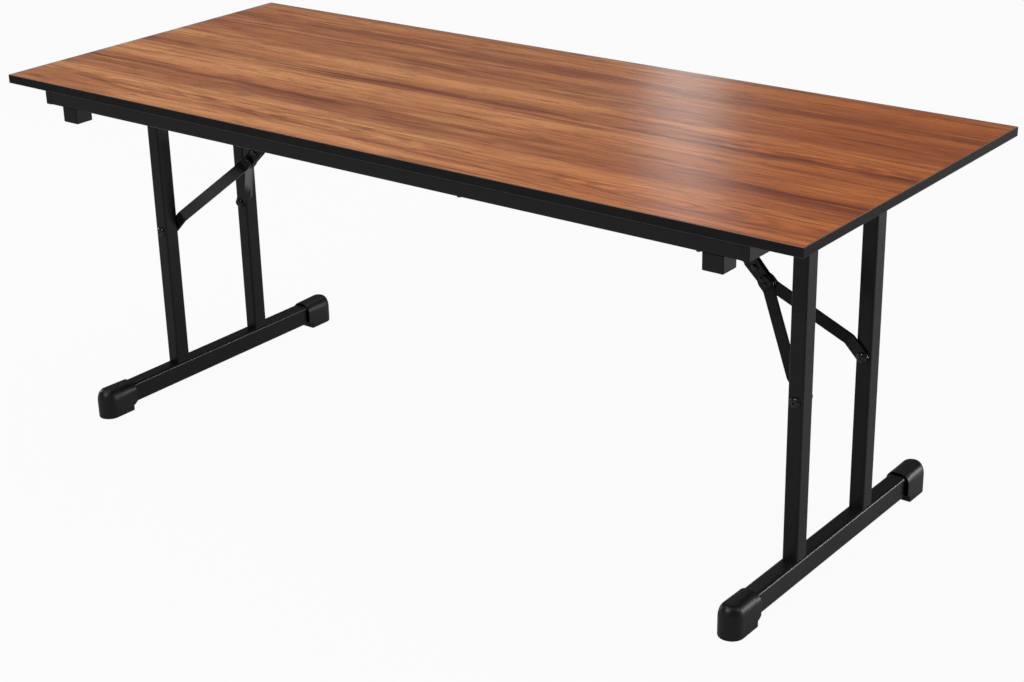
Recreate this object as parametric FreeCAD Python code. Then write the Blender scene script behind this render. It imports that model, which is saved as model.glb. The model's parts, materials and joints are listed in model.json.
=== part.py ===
import FreeCAD, Part
import math
import os

# Folding banquet table: laminated top on a tube frame, two folding legs with braces
# Millimetres, +Z up, +X along the top, origin on the floor under the middle of the top

# Table top
top_length = 1830.0
top_width = 760.0
table_height = 740.0
laminate_thickness = 0.8
core_thickness = 16.4
backing_thickness = 0.8
band_thickness = 2.0
band_round = 1.5

# Tube frame under the top
rail_height = 30.0
rail_width = 15.0
rail_wall = 1.5
rail_corner = 2.5
rail_screw_inset = 82.0
rail_inset = 10.0
end_rail_inset = 98.0
plug_flange = 2.5
plug_depth = 14.0
plug_clearance = 0.1

# Stacking blocks
block_length = 40.0
block_width = 40.0
block_height = 30.0
block_inset = 165.0
block_chamfer = 1.5
block_clearance = 0.3
block_counterbore = 12.0

# Wood screws
screw_square = 4.0
screw_head_across_flats = 8.0
screw_head_height = 2.4
screw_bite = 11.0
screw_clearance = 0.05
counterbore_square = 11.0
end_rail_screw_spacing = 440.0

# Legs
leg_inset = 139.0
pivot_drop = 31.0
post_spacing = 242.0
post_width_x = 30.0
post_width_y = 35.0
post_wall = 2.0
post_corner = 4.0
post_head = 10.0
post_plug_flange = 2.0
post_plug_chamfer = 1.5
foot_bar_width = 34.0
foot_bar_height = 44.0
foot_bar_wall = 2.5
foot_bar_corner = 6.0
foot_length = 706.0

# Boots on the foot bar
sole_thickness = 12.0
sole_setback = 11.0
sole_slope = 4.0
boot_length = 82.0
boot_side_wall = 3.0
boot_side_gap = 4.2
boot_top_wall = 2.6
boot_top_gap = 2.8
boot_arch_radius = 20.0
boot_plan_radius = 20.0
boot_nose_radius = 28.0
boot_nose_wall = 12.0
boot_round_sides = 4
boot_grip_depth = 8.0
boot_grip_clearance = 0.1

# Leg pivots
pivot_bolt_radius = 5.0
pivot_bolt_neck = 10.0
pivot_bolt_tang = 7.0
pivot_running_gap = 0.05
bracket_plate = 3.0
bracket_side_gap = 0.4
bracket_reach = 22.0
bracket_cheek_half = 15.0
bracket_chamfer = 8.0
nut_across_flats = 16.0
nut_height = 7.0
bolt_head_height = 6.0

# Forked braces
brace_drop = 331.0
stay_inset = 322.0
bar_width = 24.0
bar_thickness = 5.0
bar_post_gap = 0.3
bar_bend_radius = 12.0
bar_tab_length = 40.0
bar_stem_length = 44.0
bar_end_to_knee = 18.0
brace_bolt_radius = 4.0
brace_bolt_neck = 8.0
brace_running_gap = 0.05
button_radius = 10.5
button_height = 5.5
button_sides = 10
button_gap = 0.3
plate_round_sides = 5

# Knee and stay
cheek_thickness = 3.0
cheek_radius = 14.0
cheek_lobe = 15.0
cheek_tail = 40.0
knee_gap = 0.3
strap_width = 20.0
strap_thickness = 5.0
stop_start = 11.0
stop_length = 8.0
stop_thickness = 3.0
knee_rivet_across_flats = 8.0
knee_rivet_head_radius = 7.0
knee_rivet_head_height = 3.5
arm_rivet_across_flats = 4.6
arm_rivet_head_radius = 4.0
arm_rivet_head_height = 2.0
rivet_sides = 8
arm_rivet_near = 24.0
arm_rivet_far = 36.0
strap_hole_across_flats = 8.6
stay_pin_radius = 5.0
stay_pin_neck = 10.0
stay_pin_tang = 7.0
stay_pin_head_radius = 8.0
stay_pin_head_height = 3.0
stay_lug_half = 12.0
stay_lug_chamfer = 6.0
stay_lug_gap = 0.4
stay_plate_length = 56.0
stay_plate_width = 52.0
stay_plate_chamfer = 5.0
stay_screw_spacing = 34.0

# Levels and places that follow from the sizes above
core_top = table_height - laminate_thickness
core_bottom = core_top - core_thickness
underside = core_bottom - backing_thickness
half_length = top_length / 2
half_width = top_width / 2
rail_bottom = underside - rail_height
rail_outer = half_width - rail_inset
rail_inner = rail_outer - rail_width
end_rail_outer = half_length - end_rail_inset
end_rail_inner = end_rail_outer - rail_width
leg_x = half_length - leg_inset
pivot_z = underside - pivot_drop
post_y = post_spacing / 2
post_outer = post_y + post_width_y / 2
post_inner = post_y - post_width_y / 2
foot_bar_top = sole_thickness + foot_bar_height
foot_half = foot_length / 2
bracket_half = post_width_y / 2 + bracket_side_gap + bracket_plate
cheek_inner = strap_thickness / 2 + knee_gap
cheek_outer = cheek_inner + cheek_thickness
bar_at_post = post_inner - bar_post_gap - bar_thickness / 2
bar_at_knee = cheek_outer + bar_thickness / 2

# The brace is straight when the leg stands, and lies flat when the leg is folded by a quarter turn
brace_reach = math.hypot(brace_drop, stay_inset)
knee_along = (brace_reach + brace_drop - stay_inset) / 2
brace_bolt_z = pivot_z - brace_drop
stay_x = leg_x - stay_inset

X = FreeCAD.Vector(1, 0, 0)
Y = FreeCAD.Vector(0, 1, 0)
Z = FreeCAD.Vector(0, 0, 1)


def point(x, y, z):
    return FreeCAD.Vector(x, y, z)


def box(x0, x1, y0, y1, z0, z1):
    return Part.makeBox(x1 - x0, y1 - y0, z1 - z0, point(x0, y0, z0))


def edges_along(shape, axis):
    found = []
    for edge in shape.Edges:
        if edge.Curve.TypeId == "Part::GeomLine":
            if abs(edge.Curve.Direction.dot(axis)) > 0.999:
                found.append(edge)
    return found


def rounded_bar(x0, x1, y0, y1, z0, z1, axis, radius):
    block = box(x0, x1, y0, y1, z0, z1)
    return block.makeFillet(radius, edges_along(block, axis))


def tube(x0, x1, y0, y1, z0, z1, axis, radius, wall):
    outer = rounded_bar(x0, x1, y0, y1, z0, z1, axis, radius)
    dx = wall * (1 - axis.x)
    dy = wall * (1 - axis.y)
    dz = wall * (1 - axis.z)
    return outer.cut(box(x0 + dx, x1 - dx, y0 + dy, y1 - dy, z0 + dz, z1 - dz))


def chamfered_bar(x0, x1, y0, y1, z0, z1, axis, size):
    block = box(x0, x1, y0, y1, z0, z1)
    return block.makeChamfer(size, edges_along(block, axis))


def rod(radius, start, axis, length):
    return Part.makeCylinder(radius, length, start, axis)


def along(shape, start, axis):
    turned = shape.copy()
    turned.Placement = FreeCAD.Placement(start, FreeCAD.Rotation(Z, axis))
    return turned


def flat(corners):
    return Part.Face(Part.makePolygon(corners + corners[:1]))


def ring(sides, radius, level):
    corners = []
    for step in range(sides):
        angle = 2 * math.pi * step / sides
        corners.append(point(radius * math.cos(angle), radius * math.sin(angle), level))
    return corners


def turn(across, up, radius, start, end, flats):
    # Corners of a round drawn in flats, as pairs, between two angles in degrees
    corners = []
    for step in range(flats + 1):
        angle = math.radians(start + (end - start) * step / flats)
        corners.append((across + radius * math.cos(angle), up + radius * math.sin(angle)))
    return corners


def hexagon(across_flats, height):
    return flat(ring(6, across_flats / math.sqrt(3), 0)).extrude(Z * height)


def square_bar(x, y, size, bottom, top):
    return box(x - size / 2, x + size / 2, y - size / 2, y + size / 2, bottom, top)


def button(radius, height, sides):
    # Low dome in two rows of flats, with a flat crown
    rows = []
    for angle in (0, math.pi / 6, math.pi / 3):
        rows.append(ring(sides, radius * math.cos(angle), height * math.sin(angle) / math.sin(math.pi / 3)))
    faces = [flat(rows[0]), flat(rows[-1])]
    for low, high in zip(rows, rows[1:]):
        for step in range(sides):
            after = (step + 1) % sides
            faces.append(flat([low[step], low[after], high[after], high[step]]))
    return Part.makeSolid(Part.makeShell(faces))


def joined(shapes):
    return shapes[0].fuse(shapes[1:]).removeSplitter()


def other_end(shape):
    return shape.mirror(point(0, 0, 0), X)


def other_side(shape):
    return shape.mirror(point(0, 0, 0), Y)


def both_sides(shapes):
    return shapes + [other_side(shape) for shape in shapes]


def group(shapes):
    return Part.makeCompound(shapes)


def tapered_plate(start, start_radius, end, end_radius, thickness):
    # Plate in the local XZ plane, rounded about two points on the local X axis
    lean = math.degrees(math.asin((end_radius - start_radius) / (end - start)))
    outline = turn(end, 0, end_radius, -90 - lean, 90 + lean, plate_round_sides)
    outline += turn(start, 0, start_radius, 90 + lean, 270 - lean, plate_round_sides)
    return flat([point(x, 0, z) for x, z in outline]).extrude(Y * thickness)


def bent_strip(corners, radius, thickness, width):
    # Flat bar that follows a bent line in the local XY plane
    edges = []
    last = corners[0]
    for before, corner, after in zip(corners, corners[1:], corners[2:]):
        inward = (before - corner).normalize()
        onward = (after - corner).normalize()
        half_angle = inward.getAngle(onward) / 2
        back = radius / math.tan(half_angle)
        middle = (inward + onward).normalize() * (radius / math.sin(half_angle) - radius)
        begin = corner + inward * back
        finish = corner + onward * back
        edges.append(Part.makeLine(last, begin))
        edges.append(Part.Arc(begin, corner + middle, finish).toShape())
        last = finish
    edges.append(Part.makeLine(last, corners[-1]))
    x, y = corners[0].x, corners[0].y
    section = Part.makePolygon([
        point(x, y - thickness / 2, -width / 2),
        point(x, y + thickness / 2, -width / 2),
        point(x, y + thickness / 2, width / 2),
        point(x, y - thickness / 2, width / 2),
        point(x, y - thickness / 2, -width / 2)])
    return Part.Wire(edges).makePipeShell([section], True, False)


def on_brace(shape):
    # Local X runs from the brace bolts up to the stay bracket, local Z to the lower inner side
    lean = math.atan2(brace_drop, stay_inset)
    c, s = math.cos(lean), math.sin(lean)
    frame = FreeCAD.Matrix(-c, 0, -s, leg_x, 0, 1, 0, 0, s, 0, -c, brace_bolt_z, 0, 0, 0, 1)
    moved = shape.copy()
    moved.Placement = FreeCAD.Placement(frame)
    return moved


def wood_screw(x, y, seat):
    # Hexagon head below the seat, shank up into the core
    head = hexagon(screw_head_across_flats, screw_head_height)
    head = head.translated(point(x, y, seat - screw_head_height))
    return joined([head, square_bar(x, y, screw_square, seat, underside + screw_bite)])


def screw_hole(x, y, bottom, top):
    return square_bar(x, y, screw_square + 2 * screw_clearance, bottom, top)


def in_all_corners(x, y):
    return [(x, y), (-x, y), (x, -y), (-x, -y)]


# Places of the screws
rail_middle = (rail_outer + rail_inner) / 2
end_rail_middle = (end_rail_outer + end_rail_inner) / 2
block_x = half_length - block_inset
block_screw_y = (rail_outer - block_width + rail_inner) / 2
bracket_screw_x = (leg_x - bracket_reach + end_rail_inner) / 2
bracket_screw_half = (end_rail_inner - leg_x + bracket_reach) / 4

rail_screw_x = end_rail_inner - rail_screw_inset
frame_screw_places = in_all_corners(rail_screw_x, rail_middle)
frame_screw_places += in_all_corners(rail_screw_x / 3, rail_middle)
frame_screw_places += in_all_corners(end_rail_middle, end_rail_screw_spacing / 2)
block_screw_places = in_all_corners(block_x, block_screw_y)
bracket_screw_places = in_all_corners(bracket_screw_x - bracket_screw_half, post_y)
bracket_screw_places += in_all_corners(bracket_screw_x + bracket_screw_half, post_y)
bracket_screw_places += in_all_corners(stay_x, stay_screw_spacing / 2)
all_screw_places = frame_screw_places + block_screw_places + bracket_screw_places

nodes = {}

# Table top
inside_length = half_length - band_thickness
inside_width = half_width - band_thickness
nodes["top_laminate"] = box(-inside_length, inside_length, -inside_width, inside_width, core_top, table_height)
core = box(-inside_length, inside_length, -inside_width, inside_width, core_bottom, core_top)
backing = box(-inside_length, inside_length, -inside_width, inside_width, underside, core_bottom)
pilot_holes = group([screw_hole(x, y, underside, underside + screw_bite) for x, y in all_screw_places])
nodes["top_core"] = core.cut(pilot_holes)
nodes["backing_sheet"] = backing.cut(pilot_holes)


def edge_band(corners, axis):
    band = flat([point(x, y, underside) for x, y in corners]).extrude(Z * (table_height - underside))
    length = max(edge.Length for edge in edges_along(band, axis))
    outer_edges = [edge for edge in edges_along(band, axis) if edge.Length > length - band_thickness]
    return band.makeFillet(band_round, outer_edges)


front_corners = [(-half_length, -half_width), (half_length, -half_width),
                 (inside_length, -inside_width), (-inside_length, -inside_width)]
right_corners = [(half_length, -half_width), (half_length, half_width),
                 (inside_length, inside_width), (inside_length, -inside_width)]
nodes["front_edge_band"] = edge_band(front_corners, X)
nodes["back_edge_band"] = other_side(nodes["front_edge_band"])
nodes["right_edge_band"] = edge_band(right_corners, Y)
nodes["left_edge_band"] = other_end(nodes["right_edge_band"])

# Tube frame, with plugs in the open ends of the tubes
long_end = end_rail_inner - plug_flange
short_end = rail_outer - plug_flange
long_rail = tube(-long_end, long_end, -rail_outer, -rail_inner, rail_bottom, underside,
                 X, rail_corner, rail_wall)
end_rail = tube(end_rail_inner, end_rail_outer, -short_end, short_end, rail_bottom, underside,
                Y, rail_corner, rail_wall)
frame_holes = group([screw_hole(x, y, rail_bottom, underside) for x, y in frame_screw_places])
nodes["front_rail"] = long_rail.cut(frame_holes)
nodes["back_rail"] = other_side(nodes["front_rail"])
nodes["right_end_rail"] = end_rail.cut(frame_holes)
nodes["left_end_rail"] = other_end(nodes["right_end_rail"])

inset = rail_wall + plug_clearance
long_plug = joined([
    chamfered_bar(long_end, end_rail_inner, -rail_outer, -rail_inner, rail_bottom, underside, X, rail_wall),
    box(long_end - plug_depth, long_end, -rail_outer + inset, -rail_inner - inset,
        rail_bottom + inset, underside - inset)])
short_plug = joined([
    chamfered_bar(end_rail_inner, end_rail_outer, -rail_outer, -short_end, rail_bottom, underside, Y, rail_wall),
    box(end_rail_inner + inset, end_rail_outer - inset, -short_end, -short_end + plug_depth,
        rail_bottom + inset, underside - inset)])
right_plugs = both_sides([long_plug, short_plug])
nodes["rail_end_plugs"] = group(right_plugs + [other_end(plug) for plug in right_plugs])
nodes["frame_screws"] = group([wood_screw(x, y, rail_bottom) for x, y in frame_screw_places])

# Stacking blocks hook round the long rails and are screwed to the top
block_bottom = rail_bottom - block_height
screw_seat = block_bottom + block_counterbore
block_x0 = block_x - block_length / 2
block_x1 = block_x + block_length / 2
block = box(block_x0, block_x1, -rail_outer, -rail_outer + block_width, block_bottom, rail_bottom)
block = block.makeChamfer(block_chamfer, edges_along(block, Z) + [
    edge for edge in block.Edges if edge.CenterOfMass.z < block_bottom + block_chamfer])
hook = box(block_x0 + block_chamfer, block_x1 - block_chamfer, -rail_inner + block_clearance,
           -rail_outer + block_width - block_chamfer, rail_bottom, underside)
block = joined([block, hook])
block = block.cut(screw_hole(block_x, -block_screw_y, block_bottom, underside))
block = block.cut(square_bar(block_x, -block_screw_y, counterbore_square, block_bottom, screw_seat))
nodes["front_right_stacking_block"] = block
nodes["back_right_stacking_block"] = other_side(block)
nodes["front_left_stacking_block"] = other_end(block)
nodes["back_left_stacking_block"] = other_end(other_side(block))
nodes["block_screws"] = group([wood_screw(x, y, screw_seat) for x, y in block_screw_places])

# Pivot brackets of the posts, folded from plate
web_bottom = underside - bracket_plate


def hanging_plate(x, half, chamfer, thickness):
    # Plate down from a bracket's web, with its lower corners cut off
    plate = box(x - half, x + half, 0, thickness, pivot_z - half, web_bottom)
    low_edges = [edge for edge in edges_along(plate, Y) if edge.CenterOfMass.z < pivot_z]
    return plate.makeChamfer(chamfer, low_edges)


cheek = hanging_plate(leg_x, bracket_cheek_half, bracket_chamfer, bracket_plate)
outer_cheek = cheek.translated(point(0, -post_y - bracket_half, 0))
inner_cheek = cheek.translated(point(0, -post_y + bracket_half - bracket_plate, 0))
web = box(leg_x - bracket_reach, end_rail_inner, -post_y - bracket_half, -post_y + bracket_half,
          web_bottom, underside)


def hinge_shank(x, radius, neck, tang, start, end):
    # Round between two plates, with a square neck in the first plate and a square tang in the second
    front = along(square_bar(0, 0, neck, 0, bracket_plate), point(x, start, pivot_z), Y)
    middle = rod(radius, point(x, start + bracket_plate, pivot_z), Y, end - start - 2 * bracket_plate)
    back = along(square_bar(0, 0, tang, 0, bracket_plate), point(x, end - bracket_plate, pivot_z), Y)
    return joined([front, middle, back])


bolt_start = -post_y - bracket_half
bolt_finish = -post_y + bracket_half
bolt_shank = hinge_shank(leg_x, pivot_bolt_radius, pivot_bolt_neck, pivot_bolt_tang, bolt_start, bolt_finish)
bracket_holes = group([screw_hole(x, y, web_bottom, underside) for x, y in bracket_screw_places])
bracket = joined([web, outer_cheek, inner_cheek]).cut(bolt_shank).cut(bracket_holes)

# Pivot bolts, each with its nut
bolt_head = along(hexagon(nut_across_flats, bolt_head_height), point(leg_x, bolt_start, pivot_z), -Y)
nut = along(hexagon(nut_across_flats, nut_height), point(leg_x, bolt_finish, pivot_z), Y)
pivot_bolt = joined([bolt_head, bolt_shank, nut])

# Stay bracket: plate with two lugs, and its riveted pin
lug_inner = strap_thickness / 2 + stay_lug_gap
lug_outer = lug_inner + bracket_plate
lug = hanging_plate(stay_x, stay_lug_half, stay_lug_chamfer, bracket_plate)
lug = lug.translated(point(0, lug_inner, 0))
stay_plate = chamfered_bar(
    stay_x - stay_plate_length / 2, stay_x + stay_plate_length / 2,
    -stay_plate_width / 2, stay_plate_width / 2, web_bottom, underside, Z, stay_plate_chamfer)
pin_shank = hinge_shank(stay_x, stay_pin_radius, stay_pin_neck, stay_pin_tang, -lug_outer, lug_outer)
stay_bracket = joined([stay_plate, lug, other_side(lug)]).cut(pin_shank).cut(bracket_holes)
pin_head = button(stay_pin_head_radius, stay_pin_head_height, rivet_sides)
pin_head = along(pin_head, point(stay_x, lug_outer, pivot_z), Y)
stay_pin = joined([pin_shank, pin_head, other_side(pin_head)])
nodes["bracket_screws"] = group([wood_screw(x, y, web_bottom) for x, y in bracket_screw_places])

# Posts with plugs and domed brace bolts, whose square necks sit in the posts
post_x0 = leg_x - post_width_x / 2
post_x1 = leg_x + post_width_x / 2
post_top = pivot_z + post_head
post = tube(post_x0, post_x1, -post_outer, -post_inner, foot_bar_top, post_top, Z, post_corner, post_wall)
neck_half = brace_bolt_neck / 2
neck = box(leg_x - neck_half, leg_x + neck_half, -post_outer, -post_inner,
           brace_bolt_z - neck_half, brace_bolt_z + neck_half)
post = post.cut(neck)
post = post.cut(rod(pivot_bolt_radius + pivot_running_gap, point(leg_x, -post_outer, pivot_z), Y, post_width_y))
post_plug = chamfered_bar(
    post_x0, post_x1, -post_outer, -post_inner, post_top, post_top + post_plug_flange, Z, post_plug_chamfer)
button_head = button(button_radius, button_height, button_sides)
nut_seat = post_inner - bar_post_gap - bar_thickness - button_gap
brace_bolt = joined([
    along(button_head, point(leg_x, -post_outer, brace_bolt_z), -Y), neck,
    rod(brace_bolt_radius, point(leg_x, -post_inner, brace_bolt_z), Y, post_inner - nut_seat),
    along(button_head, point(leg_x, -nut_seat, brace_bolt_z), Y)])

# Foot bar, with its ends inside the boots
bar_end = foot_half - boot_nose_wall
foot_x0 = leg_x - foot_bar_width / 2
foot_x1 = leg_x + foot_bar_width / 2
foot_bar = tube(foot_x0, foot_x1, -bar_end, bar_end, sole_thickness, foot_bar_top,
                Y, foot_bar_corner, foot_bar_wall)


def arch(half, top, radius, bottom, start, length):
    # Flat-bottomed arch across the foot bar, drawn out along Y
    outline = [(leg_x + half, bottom)]
    outline += turn(leg_x + half - radius, top - radius, radius, 0, 90, boot_round_sides)
    outline += turn(leg_x - half + radius, top - radius, radius, 90, 180, boot_round_sides)
    outline += [(leg_x - half, bottom)]
    return flat([point(x, start, z) for x, z in outline]).extrude(Y * length)


# Boots: arched sleeve with a round nose, open at the inner end, thick sole set back from the sleeve
boot_half = foot_bar_width / 2 + boot_side_gap + boot_side_wall
boot_top = foot_bar_top + boot_top_gap + boot_top_wall
mouth = -foot_half + boot_length
sole_end = mouth - sole_setback
plan = [(leg_x + boot_half, mouth), (leg_x - boot_half, mouth)]
plan_x = boot_half - boot_plan_radius
plan_y = -foot_half + boot_plan_radius
plan += turn(leg_x - plan_x, plan_y, boot_plan_radius, 180, 270, boot_round_sides)
plan += turn(leg_x + plan_x, plan_y, boot_plan_radius, 270, 360, boot_round_sides)
side = [(-foot_half, 0), (sole_end, 0), (sole_end, sole_thickness),
        (mouth, sole_thickness + sole_slope), (mouth, boot_top)]
side += turn(-foot_half + boot_nose_radius, boot_top - boot_nose_radius, boot_nose_radius,
             90, 180, boot_round_sides)
boot = arch(boot_half, boot_top, boot_arch_radius, 0, -foot_half, boot_length)
boot = boot.common(flat([point(x, y, 0) for x, y in plan]).extrude(Z * boot_top))
boot = boot.common(flat([point(leg_x - boot_half, y, z) for y, z in side]).extrude(X * 2 * boot_half))
grip_start = -bar_end
sleeve_start = grip_start + boot_grip_depth
sleeve = arch(boot_half - boot_side_wall, boot_top - boot_top_wall, boot_arch_radius - boot_side_wall,
              sole_thickness, sleeve_start, mouth - sleeve_start)
grip = box(foot_x0 - boot_grip_clearance, foot_x1 + boot_grip_clearance, grip_start, sleeve_start,
           sole_thickness, foot_bar_top + boot_grip_clearance)
boot = boot.cut(sleeve).cut(grip)

# Brace arms: flat bars with two bends from the posts to the knee
arm_end = knee_along - bar_end_to_knee
arm_path = [
    point(-bar_width, -bar_at_post, 0), point(bar_tab_length, -bar_at_post, 0),
    point(knee_along - bar_stem_length, -bar_at_knee, 0), point(arm_end + bar_width, -bar_at_knee, 0)]
arm = bent_strip(arm_path, bar_bend_radius, bar_thickness, bar_width)
arm_outline = tapered_plate(0, bar_width / 2, arm_end - bar_width / 2, bar_width / 2, 2 * post_y)
arm = arm.common(arm_outline.translated(point(0, -2 * post_y, 0)))
arm = arm.cut(rod(brace_bolt_radius + brace_running_gap, point(0, -2 * post_y, 0), Y, 2 * post_y))
arm_rivets = []
for distance in (arm_rivet_near, arm_rivet_far):
    place = knee_along - distance
    shank = along(hexagon(arm_rivet_across_flats, cheek_thickness + bar_thickness),
                  point(place, -cheek_inner, 0), -Y)
    head = along(button(arm_rivet_head_radius, arm_rivet_head_height, rivet_sides),
                 point(place, -cheek_outer - bar_thickness, 0), -Y)
    arm_rivets.append(joined([shank, head]))
    arm = arm.cut(shank)

# Knee clevis: two cheeks and the stop bridge over the straight strap
knee_cheek = tapered_plate(
    knee_along - cheek_tail, bar_width / 2, knee_along + cheek_lobe, cheek_radius, cheek_thickness)
knee_cheek = knee_cheek.translated(point(0, -cheek_outer, 0))
stop_low = strap_width / 2 + knee_gap
stop = box(knee_along + stop_start, knee_along + stop_start + stop_length, -cheek_outer, cheek_outer,
           -stop_low - stop_thickness, -stop_low)
clevis = joined([knee_cheek, other_side(knee_cheek), stop])
knee_shank = along(hexagon(knee_rivet_across_flats, cheek_thickness), point(knee_along, -cheek_inner, 0), -Y)
knee_head = along(button(knee_rivet_head_radius, knee_rivet_head_height, rivet_sides),
                  point(knee_along, -cheek_outer, 0), -Y)
knee_rivets = both_sides([joined([knee_shank, knee_head])])
clevis = clevis.cut(group(both_sides(arm_rivets) + knee_rivets))

# Stay strap from the knee to the stay bracket
strap = tapered_plate(knee_along, strap_width / 2, brace_reach, strap_width / 2, strap_thickness)
strap = strap.translated(point(0, -strap_thickness / 2, 0))
strap_hole = hexagon(strap_hole_across_flats, strap_thickness)
strap = strap.cut(along(strap_hole, point(knee_along, -strap_thickness / 2, 0), Y))
pin_hole = rod(stay_pin_radius + pivot_running_gap, point(brace_reach, -strap_thickness, 0), Y, 2 * strap_thickness)
strap = strap.cut(pin_hole)

# The pieces of one end, and their mirror images at the other end
end_pieces = {
    "front_pivot_bracket": bracket,
    "back_pivot_bracket": other_side(bracket),
    "pivot_bolts": group(both_sides([pivot_bolt])),
    "stay_bracket": stay_bracket,
    "stay_pin": stay_pin,
    "front_post": post,
    "back_post": other_side(post),
    "post_plugs": group(both_sides([post_plug])),
    "brace_bolts": group(both_sides([brace_bolt])),
    "foot_bar": foot_bar,
    "front_boot": boot,
    "back_boot": other_side(boot),
    "front_arm": on_brace(arm),
    "back_arm": on_brace(other_side(arm)),
    "knee_clevis": on_brace(clevis),
    "arm_rivets": on_brace(group(both_sides(arm_rivets))),
    "knee_rivets": on_brace(group(knee_rivets)),
    "stay_strap": on_brace(strap)}
for name, shape in end_pieces.items():
    nodes["right_" + name] = shape
    nodes["left_" + name] = other_end(shape)

os.makedirs("parts", exist_ok=True)
for name, shape in nodes.items():
    shape.exportStep("parts/" + name + ".step")
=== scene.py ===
import bmesh
import bpy
import json
import math
from mathutils import Matrix, Vector


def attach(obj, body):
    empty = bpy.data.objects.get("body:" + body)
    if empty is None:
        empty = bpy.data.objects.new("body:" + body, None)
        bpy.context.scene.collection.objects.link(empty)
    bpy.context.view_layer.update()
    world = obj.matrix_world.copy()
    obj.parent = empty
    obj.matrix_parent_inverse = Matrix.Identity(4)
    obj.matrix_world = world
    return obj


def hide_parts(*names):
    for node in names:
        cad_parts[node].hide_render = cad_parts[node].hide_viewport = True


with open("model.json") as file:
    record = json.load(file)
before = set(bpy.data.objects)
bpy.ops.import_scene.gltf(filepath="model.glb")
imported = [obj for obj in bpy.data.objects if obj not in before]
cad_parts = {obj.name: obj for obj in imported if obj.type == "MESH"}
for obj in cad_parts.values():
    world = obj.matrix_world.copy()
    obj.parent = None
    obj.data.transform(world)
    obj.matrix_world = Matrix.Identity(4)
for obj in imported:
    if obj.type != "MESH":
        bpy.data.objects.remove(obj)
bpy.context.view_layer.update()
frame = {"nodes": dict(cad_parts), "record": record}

MM = 0.001

# Sizes shared with the part's source
top_width = 760 * MM
leg_x = 776 * MM
post_outer = 138.5 * MM
nut_seat = 97.9 * MM
foot_half = 353 * MM
boot_length = 82 * MM
boot_half = 24.2 * MM
boot_top = 61.4 * MM
boot_wall = 3 * MM
sole_thickness = 12 * MM
sole_setback = 11 * MM
sole_slope = 4 * MM
brace_bolt_z = 360 * MM
brace_drop = 331 * MM
stay_inset = 322 * MM
brace_lean = math.atan2(brace_drop, stay_inset)
knee_along = (math.hypot(brace_drop, stay_inset) + brace_drop - stay_inset) / 2
arm_face = 10.8 * MM
cheek_face = 5.8 * MM
button_radius = 10.5 * MM
button_height = 5.5 * MM
button_socket = 5 * MM
arm_rivet_radius = 4 * MM
arm_rivet_height = 2 * MM
arm_rivets_short_of_knee = (24 * MM, 36 * MM)
knee_rivet_radius = 7 * MM
knee_rivet_height = 3.5 * MM


# Helpers for materials

def linear(hex_colour):
    channels = [int(hex_colour[i:i + 2], 16) / 255 for i in (1, 3, 5)]
    levels = [c / 12.92 if c <= 0.04045 else ((c + 0.055) / 1.055) ** 2.4 for c in channels]
    return (*levels, 1.0)


def per_size(millimetres):
    # Noise scale at which one blob is about this wide
    return 1 / (millimetres * MM)


def node(tree, kind, links=None, values=None, **settings):
    made = tree.nodes.new(kind)
    for name, value in settings.items():
        setattr(made, name, value)
    for socket, value in (values or {}).items():
        made.inputs[socket].default_value = value
    for socket, source in (links or {}).items():
        tree.links.new(source, made.inputs[socket])
    return made


def new_material(name, **values):
    material = bpy.data.materials.new(name)
    material.use_nodes = True
    tree = material.node_tree
    shader = tree.nodes["Principled BSDF"]
    for socket, value in values.items():
        shader.inputs[socket.replace("_", " ")].default_value = value
    return material, tree, shader


def stops(ramp, places):
    # Sets the stops of a colour ramp from pairs of place and colour
    elements = ramp.color_ramp.elements
    elements[0].position, elements[1].position = places[0][0], places[-1][0]
    for place, colour in places[1:-1]:
        elements.new(place)
    for element, (place, colour) in zip(elements, places):
        element.color = colour


# Walnut laminate: printed walnut paper under clear melamine resin, pressed on a satin plate.
# The eye gets soft orange-brown bands along the table, wandering dark veins, fine streaks
# and a broad dull shine.

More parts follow.
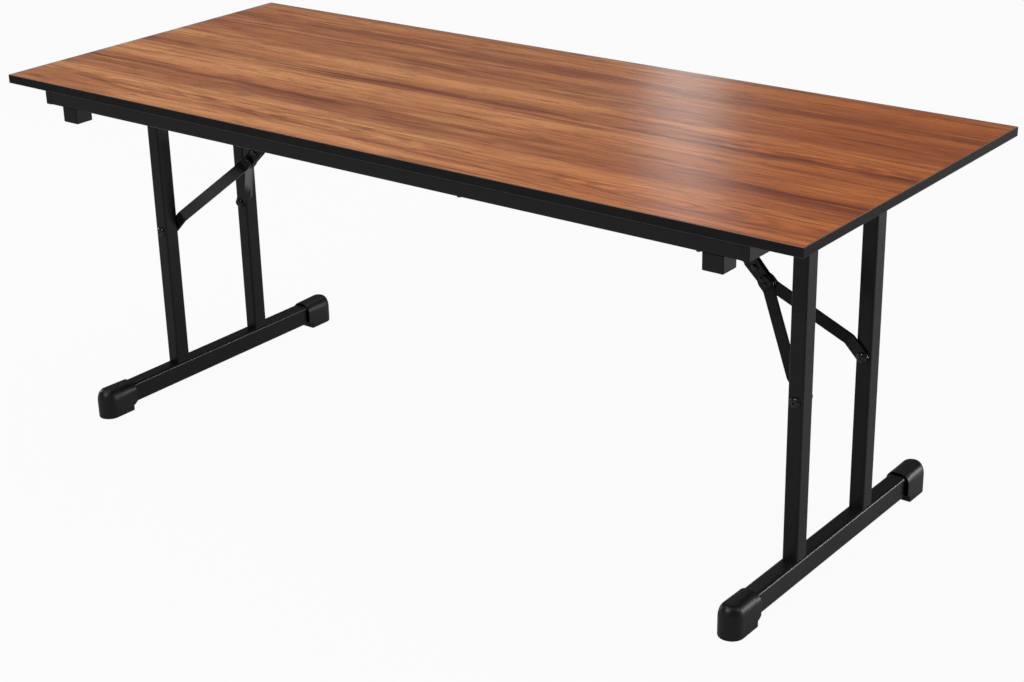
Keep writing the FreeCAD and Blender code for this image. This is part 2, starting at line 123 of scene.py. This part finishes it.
def walnut_laminate():
    material, tree, shader = new_material("walnut_laminate", IOR=1.5)
    place = node(tree, "ShaderNodeTexCoord").outputs["Object"]
    apart = node(tree, "ShaderNodeSeparateXYZ", {"Vector": place})
    along, across = apart.outputs["X"], apart.outputs["Y"]

    def streaks(length, width, detail, layer):
        # Noise drawn out along the table, one streak about so long and so wide in millimetres.
        # Each layer has its own number, so that no two show the same streaks.
        drawn_out = node(tree, "ShaderNodeVectorMath", {0: place}, operation="MULTIPLY_ADD",
                         values={1: (per_size(length), per_size(width), 1), 2: (0, 0, layer)})
        noise = node(tree, "ShaderNodeTexNoise", {"Vector": drawn_out.outputs[0]},
                     {"Scale": 1.0, "Detail": detail, "Roughness": 0.55})
        return noise.outputs["Fac"]

    def wander(start, reach, **streak):
        # A distance that strays by up to this reach, as the grain of the plank does
        strayed = node(tree, "ShaderNodeMath", {0: streaks(**streak), 2: start}, {1: reach},
                       operation="MULTIPLY_ADD")
        return strayed.outputs[0]

    def graded(fades, levels, **streak):
        # Streaks that go from the first level to the second while their noise passes the two fades
        grade = node(tree, "ShaderNodeMapRange", {"Value": streaks(**streak)},
                     {"From Min": fades[0], "From Max": fades[1], "To Min": levels[0], "To Max": levels[1]},
                     interpolation_type="SMOOTHSTEP")
        return grade.outputs["Result"]

    def printed_over(colour, tone, most, fades, **streak):
        # Streaks of one ink over a colour, covering at most this share of it
        share = graded(fades, (0.0, most), **streak)
        ink = node(tree, "ShaderNodeMix", {"Factor": share, "A": colour}, {"B": linear(tone)},
                   data_type="RGBA")
        return ink.outputs["Result"]

    # Bands across the table, which wander in long, middling and short waves
    reaches = (70 * MM, 34 * MM, 20 * MM)
    strayed = wander(across, reaches[0], length=900, width=260, detail=2, layer=0)
    strayed = wander(strayed, reaches[1], length=230, width=70, detail=2, layer=3)
    strayed = wander(strayed, reaches[2], length=80, width=24, detail=4, layer=5)
    centred = node(tree, "ShaderNodeMath", {0: strayed}, {1: sum(reaches) / 2}, operation="SUBTRACT")
    band = node(tree, "ShaderNodeMath", {0: centred.outputs[0]}, {1: 1 / top_width, 2: 0.5},
                operation="MULTIPLY_ADD")
    pale, light, mid = linear("#cc8b59"), linear("#bb7a4d"), linear("#a86a46")
    deep, vein = linear("#8f5539"), linear("#753f2a")
    ramp = node(tree, "ShaderNodeValToRGB", {"Fac": band.outputs[0]})
    ramp.color_ramp.interpolation = "EASE"
    stops(ramp, [
        (0.0, light), (0.045, pale), (0.08, mid), (0.10, light), (0.16, pale), (0.21, mid),
        (0.25, deep), (0.278, vein), (0.295, mid), (0.318, light), (0.36, pale), (0.40, pale),
        (0.455, light), (0.475, deep), (0.488, vein), (0.505, mid), (0.54, light), (0.59, pale),
        (0.625, mid), (0.665, mid), (0.69, deep), (0.73, mid), (0.785, light), (0.815, deep),
        (0.855, deep), (0.88, mid), (0.955, light), (1.0, mid)])
    colour = ramp.outputs["Color"]

    # Inks over the bands, from broad clouds to hairlines
    colour = printed_over(colour, "#ab6b43", 0.75, (0.44, 0.62), length=420, width=110, detail=3, layer=37)
    colour = printed_over(colour, "#834a33", 0.55, (0.50, 0.68), length=420, width=26, detail=4, layer=7)
    colour = printed_over(colour, "#d09560", 0.50, (0.52, 0.70), length=360, width=18, detail=3, layer=11)
    colour = printed_over(colour, "#7a4530", 0.60, (0.54, 0.72), length=75, width=13, detail=5, layer=41)
    colour = printed_over(colour, "#713e28", 0.65, (0.53, 0.68), length=300, width=9, detail=4, layer=13)
    colour = printed_over(colour, "#5c301f", 0.75, (0.60, 0.72), length=520, width=5, detail=2, layer=17)

    # Painted shade: from the middle of the table to near its right end the colour is multiplied deeper and
    # more red, standing in for the dimmer light and weaker sheen at that end
    shade_toward_right_end = node(tree, "ShaderNodeMapRange", {"Value": along}, {"From Min": 0.0, "From Max": 0.8},
                     interpolation_type="SMOOTHSTEP")
    painted_shade_right_end = node(tree, "ShaderNodeMix", {"Factor": shade_toward_right_end.outputs["Result"], "A": colour},
                  {"B": linear("#f5d4ad")}, data_type="RGBA", blend_type="MULTIPLY")

    def cathedral(centre_x, centre_y, spacing, reach):
        # Nested arches where the plank was cut across its heart, strongest round one centre, in metres
        drawn_out = 0.16
        strength = 0.2
        moved = node(tree, "ShaderNodeVectorMath", {0: place}, {1: (-centre_x, -centre_y, 0)},
                     operation="ADD")
        oval = node(tree, "ShaderNodeVectorMath", {0: moved.outputs[0]}, {1: (drawn_out, 1, 0)},
                    operation="MULTIPLY")
        away = node(tree, "ShaderNodeVectorMath", {0: oval.outputs[0]}, operation="LENGTH").outputs["Value"]
        uneven = wander(away, 20 * MM, length=70, width=24, detail=3, layer=19)
        turns = node(tree, "ShaderNodeMath", {0: uneven}, {1: 2 * math.pi / spacing}, operation="MULTIPLY")
        wave = node(tree, "ShaderNodeMath", {0: turns.outputs[0]}, operation="SINE")
        near = node(tree, "ShaderNodeMapRange", {"Value": away}, interpolation_type="SMOOTHSTEP",
                    values={"From Min": 0.3 * reach, "From Max": reach, "To Min": strength, "To Max": 0.0})
        arch = node(tree, "ShaderNodeMath", {0: wave.outputs[0], 1: near.outputs["Result"]}, {2: 1.0},
                    operation="MULTIPLY_ADD")
        return arch.outputs[0]

    shade = graded((0.3, 0.7), (0.86, 1.13), length=110, width=3.4, detail=3, layer=23)
    pores = graded((0.60, 0.72), (1.0, 0.76), length=18, width=2, detail=2, layer=29)
    arches = [cathedral(0.74, 0.01, 13 * MM, 0.060), cathedral(-0.14, -0.30, 15 * MM, 0.060),
              cathedral(0.62, -0.31, 12 * MM, 0.065), cathedral(-0.60, -0.29, 14 * MM, 0.055)]
    for layer in [pores] + arches:
        shade = node(tree, "ShaderNodeMath", {0: shade, 1: layer}, operation="MULTIPLY").outputs[0]
    printed = node(tree, "ShaderNodeVectorMath", {0: painted_shade_right_end.outputs["Result"], 1: shade},
                   operation="MULTIPLY")
    tree.links.new(printed.outputs[0], shader.inputs["Base Color"])
    dull = graded((0.2, 0.8), (0.24, 0.32), length=90, width=3.2, detail=3, layer=31)
    tree.links.new(dull, shader.inputs["Roughness"])
    grain = node(tree, "ShaderNodeBump", {"Height": shade}, {"Strength": 0.05, "Distance": 0.2 * MM})
    tree.links.new(grain.outputs["Normal"], shader.inputs["Normal"])
    return material


# Black finishes: one base colour with a faint mottle, uneven gloss and a fine bump of their own grain

def black_finish(name, colour, pale, grain, bump, roughness, **values):
    cloud_size = 60
    gloss_spread = 0.06
    material, tree, shader = new_material(name, **values)
    place = node(tree, "ShaderNodeTexCoord").outputs["Object"]
    noise = node(tree, "ShaderNodeTexNoise", {"Vector": place},
                 {"Scale": per_size(grain), "Detail": 3.0, "Roughness": 0.6})
    clouds = node(tree, "ShaderNodeTexNoise", {"Vector": place},
                  {"Scale": per_size(cloud_size), "Detail": 4.0})
    mottle = node(tree, "ShaderNodeMix", {"Factor": clouds.outputs["Fac"]},
                  {"A": linear(colour), "B": linear(pale)}, data_type="RGBA")
    tree.links.new(mottle.outputs["Result"], shader.inputs["Base Color"])
    gloss = node(tree, "ShaderNodeMapRange", {"Value": clouds.outputs["Fac"]},
                 {"To Min": roughness - gloss_spread, "To Max": roughness + gloss_spread})
    tree.links.new(gloss.outputs["Result"], shader.inputs["Roughness"])
    relief = node(tree, "ShaderNodeBump", {"Height": noise.outputs["Fac"]},
                  {"Strength": bump, "Distance": 0.3 * MM})
    tree.links.new(relief.outputs["Normal"], shader.inputs["Normal"])
    return material


# Edge band: extruded black ABS, glued on, its arrises rounded by scraping.
# The eye gets a dull black face, with a painted highlight of pale grey where the surface turns up or down,
# on the long arrises and the narrow top and bottom faces.

def edge_plastic():
    material = black_finish("edge_band_abs", colour="#1a1b1c", pale="#222324", grain=2.5, bump=0.06,
                            roughness=0.42, IOR=1.53, Specular_IOR_Level=0.05)
    tree = material.node_tree
    shader = tree.nodes["Principled BSDF"]
    face_colour = shader.inputs["Base Color"].links[0].from_socket
    # Painted highlight: where the surface turns up or down, the colour goes to a pale grey
    facing = node(tree, "ShaderNodeNewGeometry").outputs["Normal"]
    up = node(tree, "ShaderNodeSeparateXYZ", {"Vector": facing}).outputs["Z"]
    tilted = node(tree, "ShaderNodeMath", {0: up}, operation="ABSOLUTE").outputs[0]
    arris_highlight_share = node(tree, "ShaderNodeMapRange", {"Value": tilted}, {"From Min": 0.2, "From Max": 0.6},
                   interpolation_type="SMOOTHSTEP")
    painted_arris_highlight = node(tree, "ShaderNodeMix", {"Factor": arris_highlight_share.outputs["Result"], "A": face_colour},
                {"B": linear("#6f6863")}, data_type="RGBA")
    tree.links.new(painted_arris_highlight.outputs["Result"], shader.inputs["Base Color"])
    return material


# Zinc-plated steel: thin bright electroplate, slightly blue, with a soft uneven lustre.

def zinc_steel():
    material, tree, shader = new_material("zinc_plated_steel", Metallic=1.0)
    place = node(tree, "ShaderNodeTexCoord").outputs["Object"]
    noise = node(tree, "ShaderNodeTexNoise", {"Vector": place}, {"Scale": per_size(3), "Detail": 4.0})
    tint = node(tree, "ShaderNodeMix", {"Factor": noise.outputs["Fac"]},
                {"A": linear("#b4b8bd"), "B": linear("#d2d4d6")}, data_type="RGBA")
    tree.links.new(tint.outputs["Result"], shader.inputs["Base Color"])
    lustre = node(tree, "ShaderNodeMapRange", {"Value": noise.outputs["Fac"]},
                  {"To Min": 0.22, "To Max": 0.42})
    tree.links.new(lustre.outputs["Result"], shader.inputs["Roughness"])
    return material


# Particle board: pressed wood chips, tan flakes a few millimetres across, quite matt.

def core_board():
    material, tree, shader = new_material("particle_board", Roughness=0.85, IOR=1.5)
    place = node(tree, "ShaderNodeTexCoord").outputs["Object"]
    chips = node(tree, "ShaderNodeTexVoronoi", {"Vector": place}, {"Scale": per_size(4)})
    ramp = node(tree, "ShaderNodeValToRGB", {"Fac": chips.outputs["Color"]})
    stops(ramp, [(0.0, linear("#8a6a48")), (0.5, linear("#b08d63")), (1.0, linear("#cfae82"))])
    tree.links.new(ramp.outputs["Color"], shader.inputs["Base Color"])
    relief = node(tree, "ShaderNodeBump", {"Height": chips.outputs["Distance"]},
                  {"Strength": 0.4, "Distance": 0.4 * MM})
    tree.links.new(relief.outputs["Normal"], shader.inputs["Normal"])
    return material


finishes = {
    "walnut_laminate": walnut_laminate(),
    "core_board": core_board(),
    "edge_plastic": edge_plastic(),
    "zinc_steel": zinc_steel(),
    # Backing sheet: dark phenolic paper with the blotchy dull face it has from the press
    "backing": black_finish("phenolic_backing", colour="#2f2a26", pale="#3d3731", grain=5, bump=0.15,
                            roughness=0.6, IOR=1.5),
    # Tube frame and legs: epoxy powder coat baked on steel, satin with a slight orange peel,
    # which is drawn coarse so that it shows
    "black_steel": black_finish("black_powder_coat", colour="#0e0e0e", pale="#151515", grain=2.5, bump=0.015,
                                roughness=0.29, IOR=1.5, Specular_IOR_Level=0.3),
    # Bolts: blackened steel under a thin oil film, a little glossier than the tubes
    "black_bolts": black_finish("blackened_steel", colour="#0d0d0e", pale="#151516", grain=1.5, bump=0.03,
                                roughness=0.25, IOR=1.6, Specular_IOR_Level=0.4),
    # Plugs and stacking blocks: moulded polypropylene with a dull spark-eroded face
    "black_plastic": black_finish("moulded_polypropylene", colour="#111111", pale="#181818", grain=1.6,
                                  bump=0.20, roughness=0.5, IOR=1.49, Specular_IOR_Level=0.3),
    # Boots: moulded soft PVC, satin with a fine grain and a faint dusty bloom
    "boot_plastic": black_finish("moulded_soft_pvc", colour="#0a0a0b", pale="#101011", grain=1.6, bump=0.02,
                                 roughness=0.40, IOR=1.53, Specular_IOR_Level=0.35),
}

for subpart in frame["record"]["subparts"]:
    part = frame["nodes"][subpart["node"]]
    part.data.materials.clear()
    part.data.materials.append(finishes[subpart["material_slot"]])


# Helpers for pieces

def new_object(name, mesh, material):
    data = bpy.data.meshes.new(name)
    mesh.to_mesh(data)
    mesh.free()
    data.materials.append(material)
    made = bpy.data.objects.new(name, data)
    bpy.context.scene.collection.objects.link(made)
    return made


def piece(name, mesh, body, slot, stands_for):
    mesh.normal_update()
    made = new_object(name, mesh, finishes[slot])
    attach(made, body)
    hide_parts(stands_for)


def skin(mesh, rings, first_filled=True):
    # Smooth quads between closed rings of points, with the last ring filled and mostly the first
    loops = [[mesh.verts.new(place) for place in ring] for ring in rings]
    count = len(loops[0])
    for near, far in zip(loops, loops[1:]):
        for step in range(count):
            after = (step + 1) % count
            face = mesh.faces.new((near[step], near[after], far[after], far[step]))
            face.smooth = True
    if first_filled:
        mesh.faces.new(list(reversed(loops[0])))
    mesh.faces.new(loops[-1])


# Boots: arched sleeve with a domed nose, open at the inner end, on a thick flat sole

def half_section(half, top, bottom, arch, rise):
    # Right half of a cut across the boot, from the middle of the sole to the crown.
    # The arch runs in by its own width while it climbs by its rise.
    corner = 1.5 * MM
    round_steps = 14
    points = [(0.0, bottom), (0.6 * half, bottom), (half - corner, bottom),
              (half - 0.3 * corner, bottom + 0.3 * corner),
              (half, bottom + corner), (half, bottom + 2 * corner)]
    for step in range(round_steps + 1):
        angle = math.pi / 2 * step / round_steps
        points.append((half - arch * (1 - math.cos(angle)), top - rise + rise * math.sin(angle)))
    return points + [(0.0, top)]


def boot_nose(mesh, section):
    # Half section turned about the upright line in the middle of the nose
    turns = 28
    fans = []
    for step in range(turns + 1):
        angle = math.pi * step / turns
        fans.append([mesh.verts.new((across * math.cos(angle), boot_half - across * math.sin(angle), up))
                     for across, up in section])
    for near, far in zip(fans, fans[1:]):
        for row in range(len(section) - 1):
            face = mesh.faces.new((near[row], near[row + 1], far[row + 1], far[row]))
            face.smooth = True


def boot():
    # The arch is flatter at the mouth than over the nose, which has to clear the end of the foot bar
    nose_arch, nose_rise = 14 * MM, 26 * MM
    mouth_arch, mouth_rise = 20 * MM, 20 * MM
    lip = 0.8 * MM
    heel_round = 0.5 * MM
    mouth = boot_length
    sole_end = mouth - sole_setback
    mouth_floor = sole_thickness + sole_slope
    inner_floor = mouth_floor + 1 * MM
    rings = []

    def add_ring(distance, bottom, thinner=0.0):
        # The crown thins a little less than the sides do
        along = (distance - boot_half) / (mouth - boot_half)
        arch = nose_arch + (mouth_arch - nose_arch) * along - thinner
        rise = nose_rise + (mouth_rise - nose_rise) * along - thinner
        section = half_section(boot_half - thinner, boot_top - 0.87 * thinner, bottom, arch, rise)
        left = [(-across, up) for across, up in reversed(section[1:-1])]
        rings.append([(across, distance, up) for across, up in section + left])

    # Along the sole, up its heel and out to the mouth
    add_ring(boot_half, 0.0)
    add_ring(sole_end - 3 * heel_round, 0.0)
    add_ring(sole_end - heel_round, 0.0)
    add_ring(sole_end, heel_round)
    add_ring(sole_end + 0.2 * MM, sole_thickness - 1 * MM)
    add_ring(mouth - 6 * MM, sole_thickness + 0.5 * MM)
    add_ring(mouth - 2 * lip, mouth_floor)

    # Round the lip of the mouth and back along the inside
    add_ring(mouth - lip, mouth_floor + 0.4 * MM)
    add_ring(mouth - 0.3 * lip, mouth_floor + 0.6 * MM, 0.2 * lip)
    add_ring(mouth, mouth_floor + 0.8 * MM, lip)
    add_ring(mouth, inner_floor, boot_wall - 0.6 * lip)
    add_ring(mouth - lip, inner_floor, boot_wall)
    add_ring(boot_half, inner_floor, boot_wall)

    mesh = bmesh.new()
    boot_nose(mesh, half_section(boot_half, boot_top, 0.0, nose_arch, nose_rise))
    skin(mesh, rings, first_filled=False)
    bmesh.ops.remove_doubles(mesh, verts=mesh.verts, dist=0.01 * MM)
    bmesh.ops.recalc_face_normals(mesh, faces=mesh.faces)
    return mesh


for side, turn in (("right", 1), ("left", -1)):
    for end, y, half_turn in (("front", -foot_half, 0.0), ("back", foot_half, math.pi)):
        mesh = boot()
        mesh.transform(Matrix.Translation((turn * leg_x, y, 0)) @ Matrix.Rotation(half_turn, 4, "Z"))
        name = side + "_" + end + "_boot"
        piece(name + "_moulding", mesh, side + "_leg", "boot_plastic", name)


# Domed heads of the bolts and rivets, the bolts with a hexagon socket

def domed_head(mesh, place, outward, radius, height, socket=0.0):
    sides = 24
    rows = 8
    sunk = 0.2 * MM
    rim = 0.5 * MM
    tip = 0.05 * MM
    socket_depth = 2.2 * MM
    circle = [2 * math.pi * step / sides for step in range(sides)]
    rings = []

    def add_ring(across, up):
        rings.append([(across * math.cos(angle), across * math.sin(angle), up) for angle in circle])

    add_ring(radius, -sunk)
    add_ring(radius, rim)
    # The dome stops short of its tip where there is a socket
    dome_share = 1 - 0.62 * socket / radius
    for row in range(1, rows + 1):
        climb = math.pi / 2 * dome_share * row / rows
        add_ring(max(radius * math.cos(climb), tip), rim + (height - rim) * math.sin(climb))
    if socket:
        lip = rings[-1][0][2]
        for depth in (0.0, socket_depth):
            hexagon = []
            for angle in circle:
                off_flat = angle % (math.pi / 3) - math.pi / 6
                reach = socket / 2 / math.cos(off_flat)
                hexagon.append((reach * math.cos(angle), reach * math.sin(angle), lip - depth))
            rings.append(hexagon)
    turned = Vector((0, 0, 1)).rotation_difference(Vector(outward)).to_matrix().to_4x4()
    placed = Matrix.Translation(place) @ turned
    skin(mesh, [[placed @ Vector(spot) for spot in ring] for ring in rings])


for side, turn in (("right", 1), ("left", -1)):
    def on_brace(distance, y):
        # Point on the brace, so far up from the brace bolts
        inward, up = distance * math.cos(brace_lean), distance * math.sin(brace_lean)
        return (turn * (leg_x - inward), y, brace_bolt_z + up)

    bolt_heads = bmesh.new()
    arm_heads = bmesh.new()
    knee_heads = bmesh.new()
    for way in (1, -1):
        for y, outward in ((way * post_outer, way), (way * nut_seat, -way)):
            domed_head(bolt_heads, (turn * leg_x, y, brace_bolt_z), (0, outward, 0),
                       button_radius, button_height, button_socket)
        for short_of_knee in arm_rivets_short_of_knee:
            domed_head(arm_heads, on_brace(knee_along - short_of_knee, way * arm_face), (0, way, 0),
                       arm_rivet_radius, arm_rivet_height)
        domed_head(knee_heads, on_brace(knee_along, way * cheek_face), (0, way, 0),
                   knee_rivet_radius, knee_rivet_height)
    piece(side + "_brace_bolt_heads", bolt_heads, side + "_leg", "black_bolts", side + "_brace_bolts")
    piece(side + "_arm_rivet_heads", arm_heads, side + "_brace", "black_bolts", side + "_arm_rivets")
    piece(side + "_knee_rivet_heads", knee_heads, side + "_brace", "black_bolts", side + "_knee_rivets")


# Stage: a paper floor and a studio round it, both white to the camera

def seen_directly(tree):
    # 1 for what the camera sees, also through glass, and about a sixth of that in reflections,
    # because the photograph's black parts mirror a darker studio than the white round the table
    mirrored_share = 0.16
    path = node(tree, "ShaderNodeLightPath")
    mirrored = node(tree, "ShaderNodeMath", {0: path.outputs["Is Glossy Ray"]}, {1: mirrored_share},
                    operation="MULTIPLY")
    either = node(tree, "ShaderNodeMath", {0: path.outputs["Is Camera Ray"], 1: mirrored.outputs[0]},
                  operation="MAXIMUM")
    seen = node(tree, "ShaderNodeMath", {0: either.outputs[0], 1: path.outputs["Is Transmission Ray"]},
                operation="MAXIMUM")
    return seen.outputs[0]


white = (1, 1, 1, 1)

# Paper floor, grey under the lamps, with a white glow that leaves a little of the table's soft shadow
paper, paper_tree, paper_shader = new_material("white_paper", Roughness=0.9, Base_Color=linear("#a0a0a0"))
paper_glow = node(paper_tree, "ShaderNodeEmission", values={"Color": white, "Strength": 1.0})
glow_share = node(paper_tree, "ShaderNodeMath", {0: seen_directly(paper_tree)}, {1: 0.95},
                  operation="MULTIPLY")
glowing = node(paper_tree, "ShaderNodeMixShader",
               {0: glow_share.outputs[0], 1: paper_shader.outputs[0], 2: paper_glow.outputs[0]})
paper_tree.links.new(glowing.outputs[0], paper_tree.nodes["Material Output"].inputs["Surface"])
floor_size = 60
floor_mesh = bmesh.new()
bmesh.ops.create_grid(floor_mesh, x_segments=1, y_segments=1, size=floor_size / 2)
floor = new_object("floor", floor_mesh, paper)
floor.location.z = -0.5 * MM

# World: soft fill on the table, white behind it
world = bpy.data.worlds.new("studio")
bpy.context.scene.world = world
world.use_nodes = True
world_tree = world.node_tree
background = world_tree.nodes["Background"]
background.inputs["Color"].default_value = white
brightness = node(world_tree, "ShaderNodeMapRange", {"Value": seen_directly(world_tree)},
                  {"To Min": 0.38, "To Max": 1.0})
world_tree.links.new(brightness.outputs["Result"], background.inputs["Strength"])

# Grey cloth all round the set, seen only in reflections, so that the laminate keeps its colour
# at a low angle
cloth, cloth_tree = new_material("grey_cloth")[:2]
cloth_glow = node(cloth_tree, "ShaderNodeEmission", values={"Color": white, "Strength": 0.10})
cloth_tree.links.new(cloth_glow.outputs[0], cloth_tree.nodes["Material Output"].inputs["Surface"])
wall_radius = 5.5
wall_mesh = bmesh.new()
bmesh.ops.create_cone(wall_mesh, cap_ends=False, segments=48, depth=5.2,
                      radius1=wall_radius, radius2=wall_radius)
wall = new_object("cloth_wall", wall_mesh, cloth)
wall.location = (0, 0, 2.8)
wall.visible_camera = False
wall.visible_diffuse = False
wall.visible_shadow = False
wall.visible_transmission = False


# Lamps: softboxes, with their place, aim and size in metres and their power in watts

def softbox(name, place, aim, width, height, power):
    lamp = bpy.data.lights.new(name, "AREA")
    lamp.shape = "RECTANGLE"
    lamp.size = width
    lamp.size_y = height
    lamp.energy = power
    made = bpy.data.objects.new(name, lamp)
    bpy.context.scene.collection.objects.link(made)
    made.location = place
    made.rotation_mode = "QUATERNION"
    made.rotation_quaternion = (Vector(aim) - Vector(place)).to_track_quat("-Z", "Y")


softbox("overhead", place=(-0.8, 0, 3.4), aim=(-0.4, 0, 0.7), width=3.2, height=2.4, power=52)
softbox("front_high", place=(-0.3, -3.6, 2.9), aim=(0.3, 0, 0.4), width=0.9, height=0.7, power=62)
softbox("right_side", place=(3.9, 0.6, 2.3), aim=(0.6, 0, 0.3), width=0.6, height=0.6, power=16)
softbox("low_back_right", place=(3.3, 2.9, 0.48), aim=(0.8, 0, 0.2), width=1.8, height=0.34, power=52)
softbox("low_left", place=(-3.2, 0.2, 0.55), aim=(0.6, -0.2, 0.1), width=0.8, height=0.6, power=12)
softbox("sheen_strip", place=(-0.99, 2.27, 1.5), aim=(0.4, 0, 0.74), width=0.21, height=1.0, power=0.9)

# Camera at the photograph's angle
camera_data = bpy.data.cameras.new("camera")
camera_data.lens = 68.812
camera_data.sensor_width = 36
camera = bpy.data.objects.new("camera", camera_data)
bpy.context.scene.collection.objects.link(camera)
camera_place = Vector((2.2561, -2.8088, 1.7424))
camera_aim = Vector((0.4382, -0.4808, 0.5113))
camera_roll = math.radians(-1.328)
looking = (camera_aim - camera_place).to_track_quat("-Z", "Y").to_matrix().to_4x4()
camera.matrix_world = Matrix.Translation(camera_place) @ looking @ Matrix.Rotation(camera_roll, 4, "Z")
bpy.context.scene.camera = camera

bpy.context.scene.view_settings.view_transform = "Standard"
